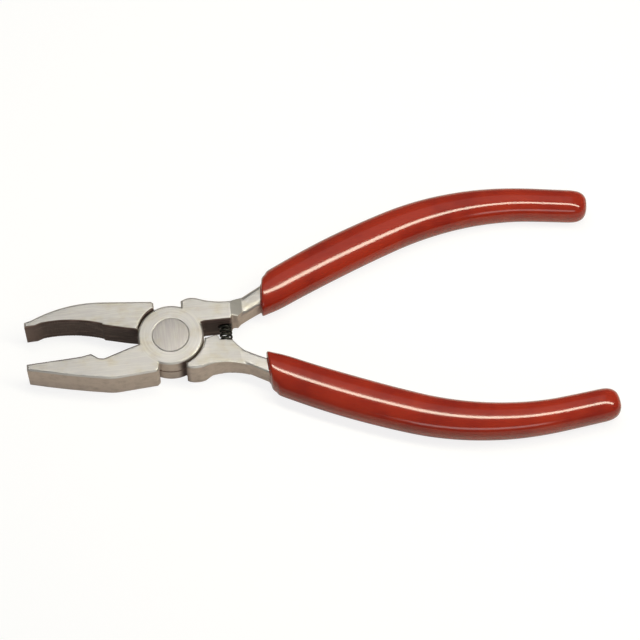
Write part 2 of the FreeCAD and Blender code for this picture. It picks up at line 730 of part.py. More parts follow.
def check(bodies):
    """Stop if any object failed or any body isn't one valid solid."""
    for item in doc.Objects:
        if {"Invalid", "Error"} & set(item.State):
            raise RuntimeError(f"{item.Label} failed: {item.State}")
    for body in bodies:
        if body.Shape.isNull() or not body.Shape.isValid() or len(body.Shape.Solids) != 1:
            raise RuntimeError(f"{body.Label} isn't one valid solid")


def main():
    """Build every sub-part, check it and write it out."""
    make_sheet()
    bodies = (
        make_flat_jaw_lever(),
        make_curved_jaw_lever(),
        make_rivet(),
        make_spring(),
        make_grip("flat_lever_grip", FLAT_SIDE),
        make_grip("curved_lever_grip", CURVED_SIDE),
    )
    doc.recompute()
    check(bodies)
    os.makedirs("parts", exist_ok=True)
    for body in bodies:
        print(body.Label, round(body.Shape.Volume, 1), body.Shape.BoundBox)
        body.Shape.exportStep(f"parts/{body.Label}.step")


main()
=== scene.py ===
"""Grozing pliers lying open on a pale table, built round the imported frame, in metres.

The two forged levers are the frame's own shapes with their corners worn soft and their forged sides made
uneven. The rivet, the return spring and the two dipped vinyl grips are built here, each in the place that
the frame gives it.
"""
import math

import bmesh
import bpy
import numpy as np
from mathutils import Matrix, Vector, noise


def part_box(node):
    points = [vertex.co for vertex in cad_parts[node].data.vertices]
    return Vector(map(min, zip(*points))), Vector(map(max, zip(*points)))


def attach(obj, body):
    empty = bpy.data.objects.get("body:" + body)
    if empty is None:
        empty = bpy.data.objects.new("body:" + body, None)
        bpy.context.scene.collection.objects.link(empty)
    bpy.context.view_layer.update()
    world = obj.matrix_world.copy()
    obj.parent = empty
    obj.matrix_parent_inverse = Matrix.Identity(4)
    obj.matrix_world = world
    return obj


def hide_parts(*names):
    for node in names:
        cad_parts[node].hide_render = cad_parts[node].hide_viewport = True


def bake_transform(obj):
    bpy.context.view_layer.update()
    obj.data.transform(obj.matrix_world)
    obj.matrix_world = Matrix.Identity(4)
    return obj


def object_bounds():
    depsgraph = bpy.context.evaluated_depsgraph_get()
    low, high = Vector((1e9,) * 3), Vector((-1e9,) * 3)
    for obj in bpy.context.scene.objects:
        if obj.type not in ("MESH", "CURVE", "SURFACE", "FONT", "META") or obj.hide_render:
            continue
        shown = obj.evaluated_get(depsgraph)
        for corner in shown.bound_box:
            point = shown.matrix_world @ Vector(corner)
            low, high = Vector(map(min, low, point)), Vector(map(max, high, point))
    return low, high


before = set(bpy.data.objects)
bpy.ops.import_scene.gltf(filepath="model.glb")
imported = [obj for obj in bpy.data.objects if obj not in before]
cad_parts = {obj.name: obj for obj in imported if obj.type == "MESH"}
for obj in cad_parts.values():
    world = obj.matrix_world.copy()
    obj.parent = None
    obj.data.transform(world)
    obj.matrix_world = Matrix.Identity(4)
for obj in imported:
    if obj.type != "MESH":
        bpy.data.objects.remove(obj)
CAD_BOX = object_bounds()

MM = 0.001
FLAT_SIDE = 1
CURVED_SIDE = -1
JOINT_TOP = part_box("pivot_rivet")[1].z

# handle centre line, as seen on the flat side: where it starts, its headings there and after the first
# stretch, its heading at the end of either handle, and the length of each stretch
HANDLE_START = Vector((17.0, 6.35, 0.0)) * MM
HANDLE_HEADINGS = (30.0, 20.0)
HANDLE_END_HEADING = {FLAT_SIDE: -8.2, CURVED_SIDE: -7.4}
HANDLE_LENGTHS = (50.0 * MM, 41.2 * MM, 14.8 * MM)
HANDLE_LENGTH = sum(HANDLE_LENGTHS)

# grips: distance along the handle in millimetres, then width and depth there as shares of the full ones
GRIP_WIDTH = 11.4 * MM
GRIP_DEPTH = JOINT_TOP
GRIP_SQUARENESS = 2.35
GRIP_SHARES = (
    (9.7, 0.94, 1.0),
    (16.0, 0.96, 1.0),
    (32.0, 1.0, 1.0),
    (46.0, 0.98, 1.0),
    (60.0, 0.935, 1.0),
    (74.0, 0.86, 0.985),
    (88.0, 0.785, 0.95),
    (102.4, 0.755, 0.93),
)
GRIP_MOUTH = 9.7 * MM
GRIP_MOUTH_HEADING = -4.6
GRIP_MOUTH_REACH = 6.3 * MM
GRIP_LIP = 0.75 * MM
GRIP_LIP_STEPS = 6
GRIP_CLIMB = 0.35 * MM
GRIP_END = 5.6 * MM
GRIP_END_SQUARENESS = 2.9
GRIP_END_STEPS = 24
GRIP_RIPPLE = 0.09 * MM
GRIP_STEP = 0.9 * MM
GRIP_POINTS = 96

# tang inside a grip: half widths to the outer and inner side, then width and depth shares along the handle
TANG_OUTER = {FLAT_SIDE: 2.25 * MM, CURVED_SIDE: 2.0 * MM}
TANG_INNER = {FLAT_SIDE: 3.05 * MM, CURVED_SIDE: 1.95 * MM}
TANG_MIDDLE = {FLAT_SIDE: 4.6 * MM, CURVED_SIDE: 4.7 * MM}
TANG_DEPTH = {FLAT_SIDE: 6.6 * MM, CURVED_SIDE: 6.4 * MM}
TANG_SQUARENESS = {FLAT_SIDE: 4.4, CURVED_SIDE: 8.0}
TANG_SHARES = (
    (9.0, 1.0, 1.0),
    (24.0, 1.3, 0.95),
    (45.0, 1.3, 0.9),
    (72.0, 1.2, 0.85),
    (97.0, 1.0, 0.75),
)
TANG_END = 97.2 * MM
TANG_CLEARANCE = 0.04 * MM

LEVER_VOXEL = 0.15 * MM
LEVER_SMOOTHING = 3
LEVER_KEPT_SHARE = 0.4
LEVER_WAVES = 0.025 * MM
LEVER_PITS = 0.05 * MM

# the visible rivet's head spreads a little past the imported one, to fill its countersink
RIVET_SPREAD = 0.05 * MM
RIVET_HEAD_OVER_SHANK = 1.88 * MM
RIVET_FACE_INSET = 3.2 * MM
RIVET_RIM = 0.05 * MM
RIVET_RIM_STEPS = 5
RIVET_POINTS = 128

# a closed turn of the spring takes a little more than the wire's diameter
SPRING_WIRE_RADIUS = 0.32 * MM
SPRING_CLOSED_PITCH = 2.06 * SPRING_WIRE_RADIUS
SPRING_TURNS = 8
SPRING_END_TURNS = 1.0
SPRING_END_GAP = 0.06 * MM
SPRING_STEPS_PER_TURN = 48

VIEW_AZIMUTH = math.radians(-6.0)
VIEW_ELEVATION = math.radians(63.5)
VIEW_DISTANCE = 0.7
VIEW_WIDTH = 0.17152
VIEW_RIGHT_OF_PIVOT = 40.07 * MM
VIEW_ABOVE_PIVOT = 3.91 * MM
SENSOR = 36.0


# ---------------------------------------------------------------- meshes

def add_object(name, mesh):
    """Link a new object that holds a mesh."""
    obj = bpy.data.objects.new(name, mesh)
    bpy.context.scene.collection.objects.link(obj)
    return obj


def join_rings(name, rings):
    """A closed smooth mesh through rings of equally many points, with a fan over each end."""
    count = len(rings[0])
    points = [point for ring in rings for point in ring]
    faces = []
    for row in range(len(rings) - 1):
        for k in range(count):
            near, far = row * count, (row + 1) * count
            after = (k + 1) % count
            faces.append((near + k, near + after, far + after, far + k))
    for row in (0, len(rings) - 1):
        points.append(np.mean(rings[row], axis=0))
        hub = len(points) - 1
        faces += [(row * count + k, row * count + (k + 1) % count, hub) for k in range(count)]
    mesh = bpy.data.meshes.new(name)
    mesh.from_pydata([tuple(map(float, point)) for point in points], [], faces)
    turn_faces_out(mesh)
    mesh.shade_smooth()
    return add_object(name, mesh)


def turn_faces_out(mesh):
    """Make every face point away from the solid."""
    shape = bmesh.new()
    shape.from_mesh(mesh)
    bmesh.ops.recalc_face_normals(shape, faces=shape.faces)
    shape.to_mesh(mesh)
    shape.free()


def oval(half_width, half_depth, squareness, count):
    """Points of a superellipse: 2 gives an ellipse, more gives fuller corners."""
    turn = np.linspace(0, 2 * math.pi, count, endpoint=False)
    reach = 2 / squareness
    across = half_width * np.sign(np.cos(turn)) * np.abs(np.cos(turn)) ** reach
    up = half_depth * np.sign(np.sin(turn)) * np.abs(np.sin(turn)) ** reach
    return np.stack((across, up), axis=1)


def ease(value):
    """Smooth step from 0 to 1."""
    value = min(max(value, 0.0), 1.0)
    return value * value * (3 - 2 * value)


def smooth_table(table, distance, column):
    """A table's column at a distance in metres, by a cubic through its rows."""
    xs = [row[0] * MM for row in table]
    ys = [row[column] for row in table]
    slopes = np.gradient(ys, xs)
    distance = min(max(distance, xs[0]), xs[-1])
    k = min(int(np.searchsorted(xs, distance, side="right")) - 1, len(xs) - 2)
    run = xs[k + 1] - xs[k]
    t = (distance - xs[k]) / run
    return (
        (2 * t**3 - 3 * t**2 + 1) * ys[k]
        + (t**3 - 2 * t**2 + t) * run * slopes[k]
        + (3 * t**2 - 2 * t**3) * ys[k + 1]
        + (t**3 - t**2) * run * slopes[k + 1]
    )


# ---------------------------------------------------------------- handles

def handle_point(side, distance):
    """Point and heading of a handle's centre line at a distance from its start, mirrored to +Y."""
    x, y, _ = HANDLE_START
    headings = HANDLE_HEADINGS + (HANDLE_END_HEADING[side],) * 2
    for length, first, last in zip(HANDLE_LENGTHS, headings, headings[1:]):
        run = min(distance, length)
        heading = first + (last - first) * run / length
        # a chord of an arc points along the mean of the headings at its two ends
        half_turn = math.radians(heading - first) / 2
        chord = run * math.sin(half_turn) / half_turn if half_turn else run
        x += chord * math.cos(math.radians((first + heading) / 2))
        y += chord * math.sin(math.radians((first + heading) / 2))
        distance -= run
        if distance <= 0:
            break
    return x, y, heading


def section_heading(side, distance):
    """Heading of a grip's section: slanted at the mouth, then square to the handle."""
    own = handle_point(side, distance)[2]
    share = ease((distance - GRIP_MOUTH) / GRIP_MOUTH_REACH)
    return GRIP_MOUTH_HEADING + (own - GRIP_MOUTH_HEADING) * share


def place_section(side, distance, heading, outline, height):
    """Points of a flat outline, its first axis to the outer side, set across the handle."""
    x, y, _ = handle_point(side, distance)
    turn = math.radians(heading)
    out = np.array((-math.sin(turn), side * math.cos(turn), 0.0))
    centre = np.array((x, side * y, height))
    return centre + outline[:, :1] * out + outline[:, 1:] * np.array((0.0, 0.0, 1.0))


def grip_skin_ring(side, distance, inset=0.0, share=1.0):
    """Outer ring of a grip, drawn in at its lip and its end, and rippled a little as dipped vinyl is."""
    half_width = GRIP_WIDTH / 2 * smooth_table(GRIP_SHARES, distance, 1) * share - inset
    half_depth = GRIP_DEPTH / 2 * smooth_table(GRIP_SHARES, distance, 2) * share - inset
    outline = oval(half_width, half_depth, GRIP_SQUARENESS, GRIP_POINTS)
    ring = place_section(side, distance, section_heading(side, distance), outline, GRIP_DEPTH / 2)
    centre = ring.mean(axis=0)
    for k, point in enumerate(ring):
        slow = noise.noise(Vector(point) * 55 + Vector((side * 3.0, 0, 0)))
        quick = noise.noise(Vector(point) * 190 + Vector((0, side * 5.0, 0)))
        depth = GRIP_RIPPLE * (0.5 + 0.38 * slow + 0.12 * quick)
        outward = point - centre
        length = np.linalg.norm(outward)
        ring[k] = point - outward / max(length, MM) * depth * share
    return ring


def tang_ring(side, distance, heading):
    """Ring of the cavity that holds the tang, cut by a section that may be slanted."""
    own = handle_point(side, distance)[2]
    slant = 1 / math.cos(math.radians(heading - own))
    share = smooth_table(TANG_SHARES, distance, 1)
    outer, inner = TANG_OUTER[side] * share, TANG_INNER[side] * share
    half_width = (outer + inner) / 2 * slant + TANG_CLEARANCE
    half_depth = TANG_DEPTH[side] / 2 * smooth_table(TANG_SHARES, distance, 2) + TANG_CLEARANCE
    outline = oval(half_width, half_depth, TANG_SQUARENESS[side], GRIP_POINTS)
    outline[:, 0] += (outer - inner) / 2 * slant
    return place_section(side, distance, heading, outline, TANG_MIDDLE[side])


def grip_rings(side):
    """Rings of one grip: up the cavity to the mouth, over the rounded lip and down the skin to the end."""
    steps = int((TANG_END - GRIP_MOUTH) / (2 * GRIP_STEP))
    inside = [GRIP_MOUTH + (TANG_END - GRIP_MOUTH) * (1 - k / steps) for k in range(steps)]
    rings = [tang_ring(side, distance, section_heading(side, distance)) for distance in inside]
    opening = tang_ring(side, GRIP_MOUTH, GRIP_MOUTH_HEADING)
    rim = grip_skin_ring(side, GRIP_MOUTH, GRIP_LIP)
    # the face between them is dished, as the vinyl climbs the steel a little
    forward = -np.array((math.cos(math.radians(GRIP_MOUTH_HEADING)), 0.0, 0.0))
    for share in (0.0, 0.12, 0.4, 0.75):
        climb = GRIP_CLIMB * (1 - share) ** 3
        rings.append(opening + (rim - opening) * share + forward * climb)
    for k in range(GRIP_LIP_STEPS + 1):
        turn = math.pi / 2 * k / GRIP_LIP_STEPS
        distance = GRIP_MOUTH + GRIP_LIP * (1 - math.cos(turn))
        rings.append(grip_skin_ring(side, distance, GRIP_LIP * (1 - math.sin(turn))))
    start, stop = GRIP_MOUTH + GRIP_LIP, HANDLE_LENGTH - GRIP_END
    steps = int((stop - start) / GRIP_STEP)
    rings += [grip_skin_ring(side, start + (stop - start) * k / steps) for k in range(1, steps + 1)]
    reach = 2 / GRIP_END_SQUARENESS
    for k in range(1, GRIP_END_STEPS):
        turn = math.pi / 2 * k / GRIP_END_STEPS
        distance = stop + GRIP_END * math.sin(turn) ** reach
        rings.append(grip_skin_ring(side, distance, share=math.cos(turn) ** reach))
    return rings


def make_grip(name, node, body, side, material):
    """Dipped vinyl grip in place of the frame's plain one."""
    grip = join_rings(name, grip_rings(side))
    finish_piece(grip, material, node)
    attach(grip, body)


def finish_piece(obj, material, node):
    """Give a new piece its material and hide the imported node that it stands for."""
    obj.data.materials.clear()
    obj.data.materials.append(material)
    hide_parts(node)


# ---------------------------------------------------------------- levers, rivet and spring

def worn_copy(node, name):
    """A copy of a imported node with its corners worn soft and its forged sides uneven."""
    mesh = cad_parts[node].data.copy()
    mesh.name = name
    shape = bmesh.new()
    shape.from_mesh(mesh)
    bmesh.ops.remove_doubles(shape, verts=shape.verts, dist=1e-7)
    shape.to_mesh(mesh)
    shape.free()
    obj = add_object(name, mesh)
    remesh = obj.modifiers.new("even_grid", "REMESH")
    remesh.mode = "VOXEL"
    remesh.voxel_size = LEVER_VOXEL
    smooth = obj.modifiers.new("worn_corners", "SMOOTH")
    smooth.factor = 0.5
    smooth.iterations = LEVER_SMOOTHING
    apply_modifiers(obj)
    make_sides_uneven(obj.data)
    thin = obj.modifiers.new("fewer_faces", "DECIMATE")
    thin.ratio = LEVER_KEPT_SHARE
    apply_modifiers(obj)
    obj.data.shade_smooth()
    return obj


def apply_modifiers(obj):
    """Replace an object's mesh by what its modifiers make of it."""
    graph = bpy.context.evaluated_depsgraph_get()
    made = bpy.data.meshes.new_from_object(obj.evaluated_get(graph))
    obj.modifiers.clear()
    old = obj.data
    obj.data = made
    bpy.data.meshes.remove(old)


def make_sides_uneven(mesh):
    """Sink the forged sides here and there; the ground top and underside stay flat."""
    count = len(mesh.vertices)
    places = np.zeros(count * 3, np.float32)
    normals = np.zeros(count * 3, np.float32)
    mesh.vertices.foreach_get("co", places)
    mesh.vertex_normals.foreach_get("vector", normals)
    places, normals = places.reshape(-1, 3), normals.reshape(-1, 3)
    upright = np.clip(1 - np.abs(normals[:, 2]) * 1.6, 0, 1)
    for k in np.nonzero(upright > 0.05)[0]:
        place = Vector(places[k])
        slow = noise.noise(Vector((place.x * 160, place.y * 160, place.z * 420)))
        pits = max(0.0, noise.noise(place * 900) - 0.25)
        depth = LEVER_WAVES * (0.5 + 0.5 * slow) + LEVER_PITS * pits
        places[k] -= normals[k] * upright[k] * depth
    mesh.vertices.foreach_set("co", places.ravel())
    mesh.update()


def make_lever(name, node, body, material):
    """One forging, in place of the frame's sharp one."""
    lever = worn_copy(node, name)
    finish_piece(lever, material, node)
    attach(lever, body)


def make_rivet(material):
    """Rivet turned about the pivot axis, with its head's rim rounded and its ends ground flush."""
    low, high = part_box("pivot_rivet")
    head = high.x + RIVET_SPREAD
    shank = head - RIVET_HEAD_OVER_SHANK
    rim = RIVET_RIM
    half = [(head - RIVET_FACE_INSET, 0.0), (head - rim, 0.0)]
    for k in range(1, RIVET_RIM_STEPS + 1):
        turn = math.pi / 2 * k / RIVET_RIM_STEPS
        half.append((head - rim + rim * math.sin(turn), rim - rim * math.cos(turn)))
    half.append((shank, head - shank + rim))
    profile = half + [(radius, high.z - z) for radius, z in reversed(half)]
    turns = np.linspace(0, 2 * math.pi, RIVET_POINTS, endpoint=False)
    rings = []
    for radius, z in profile:
        level = np.full(RIVET_POINTS, low.z + z)
        rings.append(np.stack((radius * np.cos(turns), radius * np.sin(turns), level), axis=1))
    rivet = join_rings("pivot_rivet_ground", rings)
    keep_edges_sharp(rivet.data, 35)
    finish_piece(rivet, material, "pivot_rivet")
    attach(rivet, "curved_lever")


def keep_edges_sharp(mesh, degrees):
    """Mark the edges that turn by more than an angle, so that they aren't shaded round."""
    shape = bmesh.new()
    shape.from_mesh(mesh)
    for edge in shape.edges:
        if edge.is_manifold and edge.calc_face_angle() > math.radians(degrees):
            edge.smooth = False
    shape.to_mesh(mesh)
    shape.free()


def coil_advance(turn, pitch):
    """How far along its axis a coil with closed ends has come after a number of turns."""
    if turn <= SPRING_END_TURNS:
        return SPRING_CLOSED_PITCH * turn
    if turn >= SPRING_TURNS - SPRING_END_TURNS:
        open_turns = SPRING_TURNS - 2 * SPRING_END_TURNS
        return SPRING_CLOSED_PITCH * (turn - open_turns) + pitch * open_turns
    return SPRING_CLOSED_PITCH * SPRING_END_TURNS + pitch * (turn - SPRING_END_TURNS)


def make_spring(material):
    """Compression spring with closed ends, set between the two levers."""
    low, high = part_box("return_spring")
    radius = (high.x - low.x) / 2 - SPRING_WIRE_RADIUS
    centre = (low + high) / 2
    start = low.y + SPRING_WIRE_RADIUS + SPRING_END_GAP
    span = high.y - low.y - 2 * SPRING_WIRE_RADIUS - 2 * SPRING_END_GAP
    closed_part = 2 * SPRING_END_TURNS * SPRING_CLOSED_PITCH
    pitch = (span - closed_part) / (SPRING_TURNS - 2 * SPRING_END_TURNS)
    wire = oval(SPRING_WIRE_RADIUS, SPRING_WIRE_RADIUS, 2, 20)
    rings = []
    for k in range(SPRING_TURNS * SPRING_STEPS_PER_TURN + 1):
        turn = k / SPRING_STEPS_PER_TURN
        angle = 2 * math.pi * turn
        out = np.array((math.cos(angle), 0.0, math.sin(angle)))
        along = start + coil_advance(turn, pitch)
        middle = np.array((centre.x, along, centre.z)) + radius * out
        rings.append(middle + wire[:, :1] * out + wire[:, 1:] * np.array((0.0, 1.0, 0.0)))
    spring = join_rings("return_spring_coil", rings)
    finish_piece(spring, material, "return_spring")
    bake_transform(spring)


# ---------------------------------------------------------------- materials

class Graph:
    """The nodes of one material, in object space."""

    def __init__(self, name):
        self.material = bpy.data.materials.new(name)
        self.material.use_nodes = True
        self.tree = self.material.node_tree
        self.tree.nodes.clear()
        coordinates = self.tree.nodes.new("ShaderNodeTexCoord")
        self.place = coordinates.outputs["Object"]
        self.x, self.y, self.z = self.split(self.place)
        _, self.normal_y, self.normal_z = self.split(coordinates.outputs["Normal"])

    def add(self, kind, inputs, **settings):
        """A node of a kind, with its settings and with its inputs fed by name or number."""
        node = self.tree.nodes.new("ShaderNode" + kind)
        for key, value in settings.items():
            setattr(node, key, value)
        for socket, value in inputs.items():
            self.feed(node.inputs[socket], value)
        return node

    def feed(self, socket, value):
        """Link a socket to another one, or give it a plain value."""
        if isinstance(value, bpy.types.NodeSocket):
            self.tree.links.new(value, socket)
        else:
            socket.default_value = value

    def split(self, vector):
        """The three parts of a vector."""
        return self.add("SeparateXYZ", {0: vector}).outputs[:]

    def maths(self, operation, *values):
        """One arithmetic step."""
        return self.add("Math", dict(enumerate(values)), operation=operation).outputs[0]

    def step(self, value, low, high):
        """0 below low and 1 above high, smooth in between."""
        limits = {0: value, 1: low, 2: high}
        return self.add("MapRange", limits, interpolation_type="SMOOTHSTEP").outputs[0]

    def within(self, value, low, high, edge):
        """1 between two limits and 0 outside them."""
        rising = self.step(value, low - edge, low + edge)
        falling = self.step(value, high - edge, high + edge)
        return self.maths("SUBTRACT", rising, falling)

    def blend(self, share, low, high):
        """Two values mixed by a share."""
        return self.add("Mix", {0: share, 2: low, 3: high}, data_type="FLOAT").outputs[0]

    def tint(self, share, low, high):
        """Two colours mixed by a share."""
        colours = {0: share, 6: self.colour(low), 7: self.colour(high)}
        return self.add("Mix", colours, data_type="RGBA").outputs[2]

    def colour(self, value):
        """A colour as a socket takes it."""
        return value if isinstance(value, bpy.types.NodeSocket) else (*value, 1.0)

    def grain(self, scales, detail=2.0, rough=0.5, shift=0.0):
        """Noise whose features are 1/scale metres long along each axis."""
        stretched = self.add("VectorMath", {0: self.place, 1: scales}, operation="MULTIPLY").outputs[0]
        moved = self.add("VectorMath", {0: stretched, 1: (shift, shift, shift)}, operation="ADD").outputs[0]
        inputs = {"Vector": moved, "Scale": 1.0, "Detail": detail, "Roughness": rough}
        return self.add("TexNoise", inputs).outputs[0]

    def finish(self, colour, roughness, metallic, height, depth, **extra):
        """Close the material with one principled shader and its bump."""
        bump = self.add("Bump", {"Height": height, "Distance": depth, "Strength": 1.0})
        inputs = {
            "Base Color": self.colour(colour),
            "Roughness": roughness,
            "Metallic": metallic,
            "Normal": bump.outputs[0],
        }
        inputs.update({key.replace("_", " "): value for key, value in extra.items()})
        shader = self.add("BsdfPrincipled", inputs)
        output = self.add("OutputMaterial", {})
        self.tree.links.new(shader.outputs[0], output.inputs[0])
        return self.material


# zones of dark forging scale and painted shade on each lever: x range, y range, and which way along Y its
# face looks, with
# 0 for any upright face; the faces that look at the other lever are painted dark for scale and for the
# shade between the levers, and the upright faces in the notch by the boss are painted dark as shade only
SCALE_AND_SHADE_ZONES = {
    "flat": (((-40, -5), (-12, 1), 1), ((2.5, 16.8), (0, 9), -1), ((1.9, 3.9), (-12, -5.5), 0)),
    "curved": (((-40, -3), (0, 9), -1), ((2.5, 16.8), (-9, 0), 1), ((1.9, 3.9), (-12, -5.5), 0)),
}
GROUND = (0.385, 0.379, 0.415)
# bright steel of the scratch marks, and a painted highlight on the bevels along the edges
BRIGHT_MARKS_AND_EDGE_HIGHLIGHT = (0.62, 0.605, 0.58)
SKIN = (0.60, 0.525, 0.475)
SKIN_DARK = (0.47, 0.41, 0.365)
# dark tone of the zones: forging scale, and painted shade between the levers and in the notch by the boss
SCALE_AND_SHADE = (0.075, 0.047, 0.040)
# lighter streaks and tips of that dark tone, also the colour of the grime along the lap seam
LIGHTER_SCALE_SHADE_AND_GRIME = (0.17, 0.115, 0.10)
STAIN = (0.35, 0.325, 0.29)
RIVET = (0.315, 0.302, 0.332)
SPRING = (0.028, 0.030, 0.027)
SPRING_OIL = (0.06, 0.062, 0.055)
VINYL = (0.33, 0.021, 0.005)
VINYL_DEEP = (0.22, 0.010, 0.003)


def scale_and_shade_mask(g, zones):
    """Where a lever is painted dark: forging scale with painted shade on the faces that look at the other
    lever, and painted shade in the notch by the boss.
    """
    total = 0.0
    for (x_low, x_high), (y_low, y_high), facing in zones:
        inside = g.within(g.x, x_low * MM, x_high * MM, (0.4 if facing else 0.9) * MM)
        beside = g.within(g.y, y_low * MM, y_high * MM, 0.3 * MM)
        if facing:
            looking = g.step(g.maths("MULTIPLY", g.normal_y, facing), 0.2, 0.5)
        else:
            looking = g.step(g.maths("ABSOLUTE", g.normal_z), 0.8, 0.4)
        patch = g.maths("MULTIPLY", g.maths("MULTIPLY", inside, beside), looking)
        total = g.maths("MAXIMUM", total, patch)
    return total


def pivot_radius(g):
    """Distance from the pivot's axis."""
    return g.maths("SQRT", g.maths("ADD", g.maths("POWER", g.x, 2.0), g.maths("POWER", g.y, 2.0)))


def seam_grime(g):
    """Where oil and dirt gather on the round sides of the lap joint, along its seam."""
    middle = JOINT_TOP / 2
    seam = g.within(g.z, middle - 0.3 * MM, middle + 0.3 * MM, 0.25 * MM)
    return g.maths("MULTIPLY", seam, g.step(pivot_radius(g), 10.2 * MM, 9.6 * MM))


def grinding_marks(g):
    """Fine scratches along the jaws and necks, and rings about the pivot on the boss."""
    radius = pivot_radius(g)
    straight = g.grain((170.0, 3300.0, 170.0), 4.0, 0.6)
    slow_x, slow_y = g.maths("MULTIPLY", g.x, 120.0), g.maths("MULTIPLY", g.y, 120.0)
    polar = g.add("CombineXYZ", {0: g.maths("MULTIPLY", radius, 2600.0), 1: slow_x, 2: slow_y}).outputs[0]
    rings = g.add("TexNoise", {"Vector": polar, "Scale": 1.0, "Detail": 3.0, "Roughness": 0.6}).outputs[0]
    return g.blend(g.step(radius, 8.7 * MM, 9.1 * MM), rings, straight)


def forged_steel(name, zones):
    """Ground top and underside, bevels painted bright as a highlight along the edges, brown forged sides,
    and dark forging scale with painted shade inside.
    """
    g = Graph(name)
    level = g.maths("ABSOLUTE", g.normal_z)
    ground = g.step(level, 0.85, 0.955)
    bevel = g.step(level, 0.3, 0.5)
    marks = grinding_marks(g)
    cloud = g.grain((260.0, 330.0, 260.0), 3.0, 0.55)
    blotch = g.grain((90.0, 140.0, 90.0), 2.0, 0.5, 7.0)
    mottle = g.grain((420.0, 420.0, 480.0), 4.0, 0.65, 11.0)
    # painted shade, together with forging scale, on the faces between the levers and in the notch by the
    # boss
    scale = scale_and_shade_mask(g, zones)

    ground_tone = g.tint(g.step(cloud, 0.42, 0.8), GROUND, STAIN)
    ground_tone = g.tint(g.maths("MULTIPLY", g.step(marks, 0.35, 0.75), 0.35), ground_tone, BRIGHT_MARKS_AND_EDGE_HIGHLIGHT)
    skin_tone = g.tint(g.step(mottle, 0.4, 0.75), SKIN, SKIN_DARK)
    # painted highlight: the slanted bevel faces get a bright tone for the light that their edges catch,
    # partly bright wear
    colour = g.tint(bevel, skin_tone, BRIGHT_MARKS_AND_EDGE_HIGHLIGHT)
    colour = g.tint(ground, colour, ground_tone)
    # the dark tone turns lighter in lengthwise streaks and towards the jaw tips
    lengthwise = g.grain((60.0, 900.0, 1300.0), 3.0, 0.6, 5.0)
    worn = g.maths("MAXIMUM", g.step(lengthwise, 0.44, 0.72), g.step(g.x, -33 * MM, -38.5 * MM))
    scale_and_shade_tone = g.tint(worn, SCALE_AND_SHADE, LIGHTER_SCALE_SHADE_AND_GRIME)
    colour = g.tint(scale, colour, scale_and_shade_tone)
    colour = g.tint(seam_grime(g), colour, LIGHTER_SCALE_SHADE_AND_GRIME)

    roughness = g.blend(ground, g.blend(bevel, 0.55, 0.4), g.blend(marks, 0.42, 0.6))
    roughness = g.maths("ADD", roughness, g.maths("MULTIPLY", g.maths("SUBTRACT", blotch, 0.5), 0.14))
    roughness = g.blend(scale, roughness, 0.55)
    metallic = g.blend(ground, g.blend(bevel, 0.75, 1.0), 1.0)
    metallic = g.blend(scale, metallic, 0.25)
    height = g.blend(ground, mottle, marks)
    return g.finish(colour, roughness, metallic, height, 0.012 * MM)


def rivet_steel():
    """Ground flush across the joint, so its scratches all run one way."""
    g = Graph("rivet_steel_ground")
    marks = g.grain((2400.0, 150.0, 300.0), 4.0, 0.6)
    cloud = g.grain((300.0, 300.0, 300.0), 3.0, 0.5)
    colour = g.tint(g.maths("MULTIPLY", g.step(marks, 0.35, 0.8), 0.35), RIVET, BRIGHT_MARKS_AND_EDGE_HIGHLIGHT)
    colour = g.tint(g.maths("MULTIPLY", g.step(cloud, 0.45, 0.8), 0.6), colour, STAIN)
    return g.finish(colour, g.blend(marks, 0.45, 0.58), 1.0, marks, 0.006 * MM)


def spring_steel():
    """Dark oiled wire."""
    g = Graph("spring_steel_oiled")
    cloud = g.grain((900.0, 900.0, 900.0), 3.0, 0.6)
    colour = g.tint(g.step(cloud, 0.35, 0.8), SPRING, SPRING_OIL)
    return g.finish(colour, g.blend(cloud, 0.25, 0.5), 0.8, cloud, 0.006 * MM)


def red_vinyl():
    """Glossy dipped vinyl with a slight orange peel, deeper where the coat is thick."""
    g = Graph("red_vinyl_dipped")
    cloud = g.grain((85.0, 85.0, 85.0), 3.0, 0.55)
    peel = g.grain((750.0, 750.0, 750.0), 2.0, 0.5)
    scuff = g.grain((260.0, 1900.0, 700.0), 4.0, 0.7, 3.0)
    colour = g.tint(g.step(cloud, 0.35, 0.8), VINYL, VINYL_DEEP)
    roughness = g.blend(g.step(scuff, 0.58, 0.8), 0.16, 0.28)
    return g.finish(
        colour, roughness, 0.0, peel, 0.012 * MM,
        Subsurface_Weight=0.08, Subsurface_Radius=(0.0012, 0.0003, 0.0002), Subsurface_Scale=1.0,
        Coat_Weight=0.9, Coat_Roughness=0.12, Coat_IOR=1.55, Specular_IOR_Level=0.1,
    )


# ---------------------------------------------------------------- stage, light and camera

def two_faced(tree, seen, unseen):
    """Mix two shaders so that the camera sees one and everything else is lit by the other."""
    rays = tree.nodes.new("ShaderNodeLightPath")
    mix = tree.nodes.new("ShaderNodeMixShader")
    tree.links.new(rays.outputs["Is Camera Ray"], mix.inputs[0])
    tree.links.new(unseen, mix.inputs[1])
    tree.links.new(seen, mix.inputs[2])
    return mix.outputs[0]


